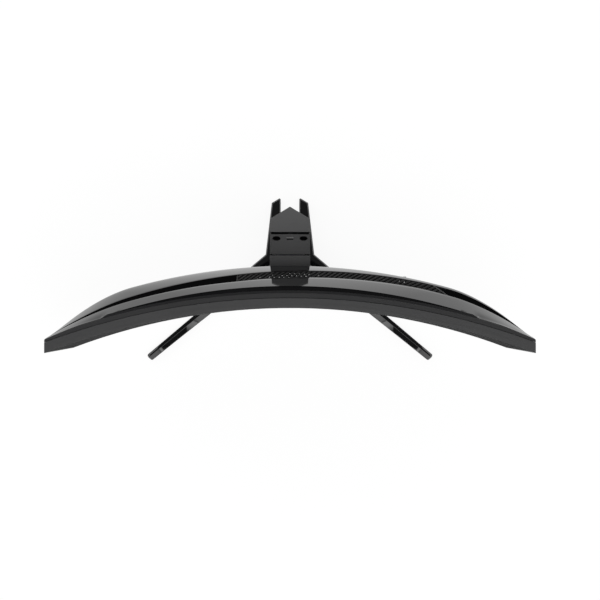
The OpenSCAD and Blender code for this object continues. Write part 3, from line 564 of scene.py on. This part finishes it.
shoulder_w = 6.9
ledge_w = 3.9
groove_d = 1.9
groove_end = 274.0
fade_len = 10
run_up_h = 28
edge_round = 0.6
strip_d = 1.5
strip_start, strip_end = -308, 326
strip_rise, strip_rise_slope, strip_rise_span = 31, 0.115, (-75, 190)
strip_fall, strip_fall_slope, strip_fall_end = 13, 0.12, 195
window_margin = 1.2
bracket_hole = ((-24, -5, 289), (24, 40, 341))
# The shoulder and ledge finishes are painted shade for the roll-off behind the bezel and for the top
# groove, on top of the real drop in the shape.
COVER_FINISHES = ("cover_gloss", "shoulder_painted_shade", "ledge_painted_shade", "cover_gloss", "strip_plastic")
FACE, SHOULDER_SHADE, LEDGE_SHADE, GROOVE, STRIP = range(len(COVER_FINISHES))


def strip_edges(x):
    """Lower and upper edge of the sunken strip across the upper slope, at x."""
    top = strip_z + strip_rise - strip_rise_slope * clamp(x, *strip_rise_span)
    bottom = strip_z - strip_fall - strip_fall_slope * min(x, strip_fall_end)
    return bottom, top


def lower_strip_edges(x):
    bottom, top = strip_edges(-x)
    return strip_mirror_z - top, strip_mirror_z - bottom


def strip_depth(x):
    """The strip fades out near both ends of the upper slope."""
    return strip_d * clamp((x - strip_start) / fade_len) * clamp((strip_end - x) / fade_len)


def groove_share(x):
    return clamp((groove_end - abs(x)) / fade_len)


def face_y(x, z):
    """The cover's back face. Beyond the groove's ends the slope runs on up to the shoulder."""
    spare = cover_crease(x) - arc_y(rim_r, x) - shoulder_at(x) - 0.5
    reach = clamp((z - (cover_z1 - run_up_h)) / run_up_h)
    return cover_y(x, z) - (1 - groove_share(x)) * spare * reach ** 2


def cover_crease(x):
    return cover_y(x, cover_z1)


def shoulder_at(x):
    return min(shoulder_w, cover_crease(x) - arc_y(rim_r, x) - 1.2)


def cover_profile(x):
    """Points y and z of the cover's section at x, from the top rim over the back to the bottom rim, each
    with the finish of the band that follows it."""
    rim = arc_y(rim_r, x)
    shoulder = rim + shoulder_at(x)
    share = groove_share(x)
    crease = cover_crease(x)
    free = crease - shoulder
    ledge = shoulder + 0.3 + (ledge_w - 0.3) * share
    floor_end = max(ledge + 0.2, crease - 0.9 - (free - 1.2) * (1 - share))
    z = cover_z1
    # The shoulder band, the ledge band and the rims take the finishes that paint shade.
    points = [
        (rim, z - 3, SHOULDER_SHADE), (rim, z + 0.9, SHOULDER_SHADE), (rim + 0.5, z + 1.5, SHOULDER_SHADE),
        (shoulder - 0.8, z + 0.9, SHOULDER_SHADE), (shoulder, z + 0.3, LEDGE_SHADE),
        (shoulder + 0.3, z - 0.2 * share, LEDGE_SHADE), (ledge, z - 0.5 * share, GROOVE),
        (ledge + 0.15, z - groove_d * share - 0.05, GROOVE),
        (floor_end, z - groove_d * share - 0.05, GROOVE),
        (max(floor_end + 0.1, face_y(x, z) - 0.45), z - 0.02, FACE),
    ]

    def back(level, sunk=0.0, band=FACE):
        points.append((face_y(x, level) - sunk, level, band))

    def plain(start, end, count):
        for level in steps(start, end, count):
            back(level)

    def sunken(low, high, depth):
        back(high, 0.1, STRIP)
        back(high - 0.5, depth, STRIP)
        for level in steps(high - 4, low + 4, 4):
            back(level, depth, STRIP)
        back(low + 0.5, depth, STRIP)
        back(low, 0.1)

    low, high = strip_edges(x)
    plain(z - 0.35, high + 0.8, 7)
    sunken(low, high, strip_depth(x))
    plain(low - 0.8, slope_top_z, 9)
    plain(slope_top_z - 25, slope_bottom_z + 25, 4)
    low, high = lower_strip_edges(x)
    plain(slope_bottom_z, high + 0.8, 4)
    sunken(low, high, strip_depth(-x))
    plain(low - 0.8, cover_z0 + 0.9, 4)
    points.append((cover_y(x, cover_z0) - 0.9, cover_z0, SHOULDER_SHADE))
    points.append((rim, cover_z0, SHOULDER_SHADE))
    return points


def inner_profile(x):
    """The wall's inner side: the back face of the section, moved in by the wall's thickness."""
    rim = arc_y(rim_r, x)
    top_points, bottom_points = 11, 3
    back = cover_profile(x)[top_points:-bottom_points]
    return ([(x, rim, cover_z1 - 4.2)]
            + [(x, max(rim + 0.4, y - shell_wall), z) for y, z, _ in back]
            + [(x, rim, cover_z0 + 2.2)])


def strip_spot(x, z, side):
    """A point of the upper strip, or for side -1 its counterpart in the lower one, half a turn round."""
    return (x, z) if side > 0 else (-x, strip_mirror_z - z)


def strip_window(side, margin):
    """A block through the cover whose four sides follow the strip, from 30 in front of it to 40 behind."""
    front, behind = -30, 40
    rings = []
    for x in steps(margin - vent_short, vent_long - margin, 12):
        low, high = strip_edges(x)
        y = cover_y(x, strip_z)
        low, high = low + margin, high - margin
        corners = ((front, low), (behind, low), (behind, high), (front, high))
        ring = []
        for offset, level in corners:
            there, z = strip_spot(x, level, side)
            ring.append((there, y + offset, z))
        rings.append(ring)
    return loft(rings)


def rear_cover():
    inside = half_w - shell_wall
    kinks = [side * x for side in (-1, 1) for x in (groove_end, groove_end - fade_len)]
    stations = sorted(set(steps(-inside, inside, 176) + kinks))
    bands = [band for _, _, band in cover_profile(0)]

    def row(x):
        return [(x, y, z) for y, z, _ in cover_profile(x)]

    def end_row(side):
        rim = arc_y(rim_r, half_w)
        return [(side * half_w, max(rim, y - edge_round),
                 clamp(z, cover_z0 + edge_round, cover_z1 + edge_round))
                for _, y, z in row(side * (half_w - edge_round))]

    outer = [end_row(-1), row(edge_round - half_w)]
    outer += [row(x) for x in stations]
    outer += [row(half_w - edge_round), end_row(1)]
    mesh = shell(outer, [inner_profile(x) for x in stations], bands)
    piece = new_object("rear_cover_shell", mesh, *COVER_FINISHES)
    ways = (-vesa / 2, vesa / 2)
    holes = [
        strip_window(1, window_margin),
        strip_window(-1, window_margin),
        box_mesh((port_x, -10, port_z - port_h / 2), (port_x + port_w, 40, port_z + port_h / 2)),
        box_mesh(*bracket_hole),
        rod_mesh(stick_x, stick_z, stick_hole_r, -40, 40),
    ]
    holes += [rod_mesh(x, mount_z + z, boss_hole_r, -10, 40) for x in ways for z in ways]
    cut(piece, holes)
    smooth(piece.data, 28)
    return stand_for(piece, "rear_cover")


rear_cover()


# ---------- vent grilles ----------

vent_margin = 1.3
vent_border = 2.4
slot_w = 3.6
rib_min = 4
end_bar_foot, end_bar_head = 18.8, 1.2
# The grille's end bar takes the paler bezel plastic, a painted highlight where its face catches the light.
PAINTED_HIGHLIGHT_BAR, PLATE = 1, 2  # places among the grille's finishes, after the ribs' own


def face_ring(places, side):
    """Points x, z and depth under the cover's face, as a ring in space."""
    ring = []
    for x, z, sunk in places:
        there, level = strip_spot(x, z, side)
        ring.append((there, cover_y(there, level) - sunk, level))
    return ring


def surface_bar(outline, out, inn, side, cuts=8):
    """A bar on the cover's face: four corners in x and z, between two depths under the face."""
    (ax, az), (bx, bz), (cx, cz), (dx, dz) = outline
    edge = 0.6 / math.hypot(bx - ax, bz - az)
    rings = []
    for t in steps(0, 1, cuts):
        left = (ax + (dx - ax) * t, az + (dz - az) * t)
        right = (bx + (cx - bx) * t, bz + (cz - bz) * t)
        places = [(left[0] + (right[0] - left[0]) * share, left[1] + (right[1] - left[1]) * share, sunk)
                  for share, sunk in ((0, inn), (0, out + 0.4), (edge, out), (1 - edge, out),
                                      (1, out + 0.4), (1, inn))]
        rings.append(face_ring(places, side))
    return loft(rings)


def vent_grille(node, side):
    """Slanted ribs in a frame. The far end's bar slants the other way, with a plain plate beyond it."""
    margin, border = vent_margin, vent_border
    rib_w = vent_pitch - slot_w
    slant = math.tan(vent_lean)
    near, far = margin - vent_short, vent_long - margin
    end_low, end_high = far - end_bar_foot, far - end_bar_head
    low_edge, high_edge = strip_edges((end_low + end_high) / 2)
    end_slope = (end_high - end_low) / (high_edge - low_edge)
    parts = []
    for k in range(int((far - near + 40) / vent_pitch)):
        x = near + k * vent_pitch
        low, high = strip_edges(x)
        middle = (low + high) / 2
        low = max(low + margin, middle + (x + 2.5 - end_low - end_slope * (middle - low_edge))
                  / (slant + end_slope))
        high = min(high - margin, middle + (x - near - rib_w / 2) / slant)
        if high - low < rib_min:
            continue
        foot, head = x - slant * (low - middle), x - slant * (high - middle)
        parts.append(surface_bar([(foot - rib_w / 2, low), (foot + rib_w / 2, low),
                                  (head + rib_w / 2, high), (head - rib_w / 2, high)], 0.5, 2.6, side))
    for edge, inward in ((0, 1), (1, -1)):
        rings = []
        for x in steps(near, far, 60):
            z = strip_edges(x)[edge] + inward * margin
            places = [(x, z, 2.8), (x, z, 0.9), (x, z + inward * 0.4, 0.6),
                      (x, z + inward * border, 0.6), (x, z + inward * border, 2.8)]
            rings.append(face_ring(places, side))
        parts.append(loft(rings))
    low, high = strip_edges(near)
    parts.append(surface_bar([(near, low + margin), (near + border, low + margin),
                              (near + border, high - margin), (near, high - margin)], 0.6, 2.7, side))
    low, high = low_edge + margin, high_edge - margin
    plate = surface_bar([(end_low + 1, low), (far, low), (far, high), (end_high + 1, high)],
                        1.2, 2.7, side)
    # This end bar gets the paler finish, a painted highlight.
    lit = surface_bar([(end_low - 1, low), (end_low + 1.3, low), (end_high + 1.3, high),
                       (end_high - 1, high)], 0.2, 2.8, side)
    for bar, band in ((plate, PLATE), (lit, PAINTED_HIGHLIGHT_BAR)):
        for face in bar.polygons:
            face.material_index = band
        parts.append(bar)
    piece = new_object(node + "_ribs", joined(parts), "grille_plastic", "bezel_plastic", "strip_plastic")
    smooth(piece.data, 30)
    return stand_for(piece, node)


vent_grille("vent_grille_top", 1)
vent_grille("vent_grille_bottom", -1)


# ---------- screen ----------

def screen_glass():
    low, high = (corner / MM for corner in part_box("lcd_glass"))
    face_r = panel_r + glass_step
    back_r = face_r + glass_t
    chamfer = 0.25
    rings = []
    for x in steps(low.x, high.x, 120):
        ring = [(face_r + chamfer, low.z), (face_r, low.z + chamfer), (face_r, high.z - chamfer),
                (face_r + chamfer, high.z), (back_r, high.z), (back_r, low.z)]
        rings.append([(x, arc_y(r, x), z) for r, z in ring])
    piece = new_object("screen_panel", loft(rings), "screen_glass")
    smooth(piece.data, 30)
    return stand_for(piece, "lcd_glass")


screen_glass()
rounded_copy("front_bezel", 0.6)
rounded_copy("power_light_lens", 0.25, 2)


# ---------- hinge blocks and neck ----------

rounded_copy("mount_block_cover", 0.7)
rounded_copy("tilt_block_cover", 0.7)
rounded_copy("release_button", 0.5)
casing = rounded_copy("neck_casing", 0.5)
# The casing takes the darker copy of the neck plastic, painted shade under the head.
casing.data.materials[0] = FINISHES["casing_painted_shade"]
rounded_copy("neck_cap", 0.5)
rounded_copy("joystick_cap", 0.35)
rounded_copy("port_recess", 0.3, 2)


# ---------- base ----------

facet_drop = 3.0
facet_dip = 6.9
dip_middle, dip_reach = 120, 46
tip_reach = 20
tip_gap = 3.8
tip_round = 3.5
tip_shrink = 0.55
hub_bevel = 3.0
hub_bevel_rise = 1.2
same_level = 1e-5


def leg_point(u, v, z, side):
    x = leg_root[0] + u * math.cos(leg_angle) - v * math.sin(leg_angle)
    y = leg_root[1] - u * math.sin(leg_angle) - v * math.cos(leg_angle)
    return side * x, y, z


def leg_w(u):
    return leg_root_w + (leg_tip_w - leg_root_w) * u / leg_len


def bump_at(u, middle, reach):
    return math.exp(-((u - middle) / reach) ** 2)


def leg_section(u, side, shrink=0.0):
    """Ring of the leg's section: a ridge, a long facet to the front and a short one to the rear."""
    w = leg_w(u)
    ridge = 0.43 * w
    steep = clamp(1.5 * (bump_at(u, dip_middle, dip_reach) + bump_at(u, leg_len, tip_reach)))
    front_z = leg_z1 - facet_drop - facet_dip * steep
    ring = [
        (0.0, leg_z0 + 0.8), (0.0, leg_z1 - 4.2), (0.5, leg_z1 - 3.4), (ridge - 1.0, leg_z1 - 0.25),
        (ridge - 0.3, leg_z1), (ridge + 0.1, leg_z1 - 0.5), (w - 0.8, front_z), (w, front_z - 0.9),
        (w, leg_z0 + 0.8), (w - 0.8, leg_z0), (0.8, leg_z0),
    ]
    middle = w / 2
    return [leg_point(u, middle + (v - middle) * (1 - shrink), leg_z0 + (z - leg_z0) * (1 - shrink * 0.25),
                      side) for v, z in ring]


def base_leg(node, side):
    ends = [(leg_len - tip_gap + tip_round * math.sin(a), 1 - math.cos(a))
            for a in steps(0, math.pi / 2 * 0.94, 7)]
    sections = [leg_section(u, side) for u in steps(stub_len + 0.3, leg_len - 3.9, 40)]
    sections += [leg_section(u, side, shrink * tip_shrink) for u, shrink in ends]
    piece = new_object(node + "_faceted", loft(sections), "base_gloss")
    smooth(piece.data, 20)
    return stand_for(piece, node)


base_leg("base_leg_right", 1)
base_leg("base_leg_left", -1)


def base_hub():
    """The hub's top edges slope down all round its outline, but not round the core's pocket."""
    piece = clean_copy("base_hub", "base_hub_faceted", "base_gloss")
    work = bmesh.new()
    work.from_mesh(piece.data)
    top = hub_high.z * MM
    rim = [e for e in work.edges
           if all(abs(v.co.z - top) < same_level for v in e.verts)
           and any(abs(f.normal.z) < 0.1 for f in e.link_faces)
           and not all(abs(v.co.x) < 0.02 and 0.06 < v.co.y < 0.1 for v in e.verts)]
    bmesh.ops.bevel(work, geom=rim, offset=hub_bevel * MM, segments=1, affect="EDGES", clamp_overlap=True)
    for vertex in work.verts:
        if abs(vertex.co.z - (top - hub_bevel * MM)) < same_level:
            vertex.co.z += hub_bevel_rise * MM
    work.to_mesh(piece.data)
    work.free()
    rounded(piece, 0.4, 2, 20)
    return stand_for(piece, "base_hub")


base_hub()
rounded_copy("rubber_feet", 0.5)
rounded_copy("leg_screws", 0.25, 2)
rounded_copy("base_screw", 0.4, 2)


# ---------- floor and light ----------

floor_reach = 12  # metres
floor_drop = 0.0005


def add_floor():
    mesh = bpy.data.meshes.new("floor")
    reach = floor_reach
    mesh.from_pydata([(-reach, -reach, 0), (reach, -reach, 0), (reach, reach, 0), (-reach, reach, 0)],
                     [], [(0, 1, 2, 3)])
    floor = bpy.data.objects.new("floor", mesh)
    scene.collection.objects.link(floor)
    floor.location.z = -floor_drop
    material = bpy.data.materials.new("floor")
    material.use_nodes = True
    nodes, links = material.node_tree.nodes, material.node_tree.links
    nodes.clear()
    lit = nodes.new("ShaderNodeBsdfDiffuse")
    lit.inputs["Color"].default_value = (0.14, 0.14, 0.14, 1)
    glow = nodes.new("ShaderNodeEmission")
    glow.inputs["Color"].default_value = (1, 1, 1, 1)
    path = nodes.new("ShaderNodeLightPath")
    place = nodes.new("ShaderNodeTexCoord")
    reach_out = nodes.new("ShaderNodeVectorMath")
    reach_out.operation = "LENGTH"
    links.new(place.outputs["Object"], reach_out.inputs[0])
    fade = nodes.new("ShaderNodeMapRange")
    for name, value in (("From Min", 0.2), ("From Max", 0.36), ("To Min", 0.85), ("To Max", 0.4)):
        fade.inputs[name].default_value = value
    links.new(reach_out.outputs["Value"], fade.inputs["Value"])
    level = nodes.new("ShaderNodeMapRange")
    level.inputs["To Min"].default_value = 0.89
    links.new(fade.outputs["Result"], level.inputs["To Max"])
    links.new(path.outputs["Is Glossy Ray"], level.inputs["Value"])
    links.new(level.outputs["Result"], glow.inputs["Strength"])
    total = nodes.new("ShaderNodeAddShader")
    out = nodes.new("ShaderNodeOutputMaterial")
    links.new(lit.outputs[0], total.inputs[0])
    links.new(glow.outputs[0], total.inputs[1])
    links.new(total.outputs[0], out.inputs["Surface"])
    mesh.materials.append(material)


def add_world():
    """White for the camera and near the horizon for gloss, dark higher up, and soft for matte surfaces."""
    world = bpy.data.worlds.new("studio")
    scene.world = world
    world.use_nodes = True
    nodes, links = world.node_tree.nodes, world.node_tree.links
    background = nodes["Background"]
    path = nodes.new("ShaderNodeLightPath")
    place = nodes.new("ShaderNodeTexCoord")
    split = nodes.new("ShaderNodeSeparateXYZ")
    links.new(place.outputs["Generated"], split.inputs["Vector"])
    sky = nodes.new("ShaderNodeValToRGB")
    stops = sky.color_ramp.elements
    stops[0].position, stops[0].color = 0.0, (1.6, 1.6, 1.6, 1)
    stops[1].position, stops[1].color = 1.0, (0.09, 0.09, 0.09, 1)
    for position, level in ((0.12, 1.5), (0.26, 0.12), (0.5, 0.03), (0.85, 0.07)):
        stops.new(position).color = (level, level, level, 1)
    links.new(split.outputs["Z"], sky.inputs["Fac"])
    soft = nodes.new("ShaderNodeRGB")
    soft.outputs[0].default_value = (0.62, 0.62, 0.62, 1)
    white = nodes.new("ShaderNodeRGB")
    white.outputs[0].default_value = (1, 1, 1, 1)
    shiny = nodes.new("ShaderNodeMath")
    shiny.operation = "MAXIMUM"
    links.new(path.outputs["Is Glossy Ray"], shiny.inputs[0])
    links.new(path.outputs["Is Transmission Ray"], shiny.inputs[1])
    first = nodes.new("ShaderNodeMix")
    second = nodes.new("ShaderNodeMix")
    first.data_type = second.data_type = "RGBA"
    links.new(shiny.outputs[0], first.inputs["Factor"])
    links.new(soft.outputs[0], first.inputs["A"])
    links.new(sky.outputs["Color"], first.inputs["B"])
    links.new(path.outputs["Is Camera Ray"], second.inputs["Factor"])
    links.new(first.outputs["Result"], second.inputs["A"])
    links.new(white.outputs[0], second.inputs["B"])
    links.new(second.outputs["Result"], background.inputs["Color"])


def add_light(name, place, size, power):
    data = bpy.data.lights.new(name, "AREA")
    data.shape = "DISK"
    data.size = size
    data.energy = power
    light = bpy.data.objects.new(name, data)
    light.location = place
    light.rotation_euler = (Vector((0, 0, 0.25)) - Vector(place)).to_track_quat("-Z", "Y").to_euler()
    light.visible_glossy = False
    scene.collection.objects.link(light)


add_floor()
add_world()
add_light("overhead", (0.3, -0.6, 2.6), 1.8, 22)
add_light("fill", (-2.0, 1.6, 1.6), 1.6, 10)
scene.view_settings.view_transform = "Standard"
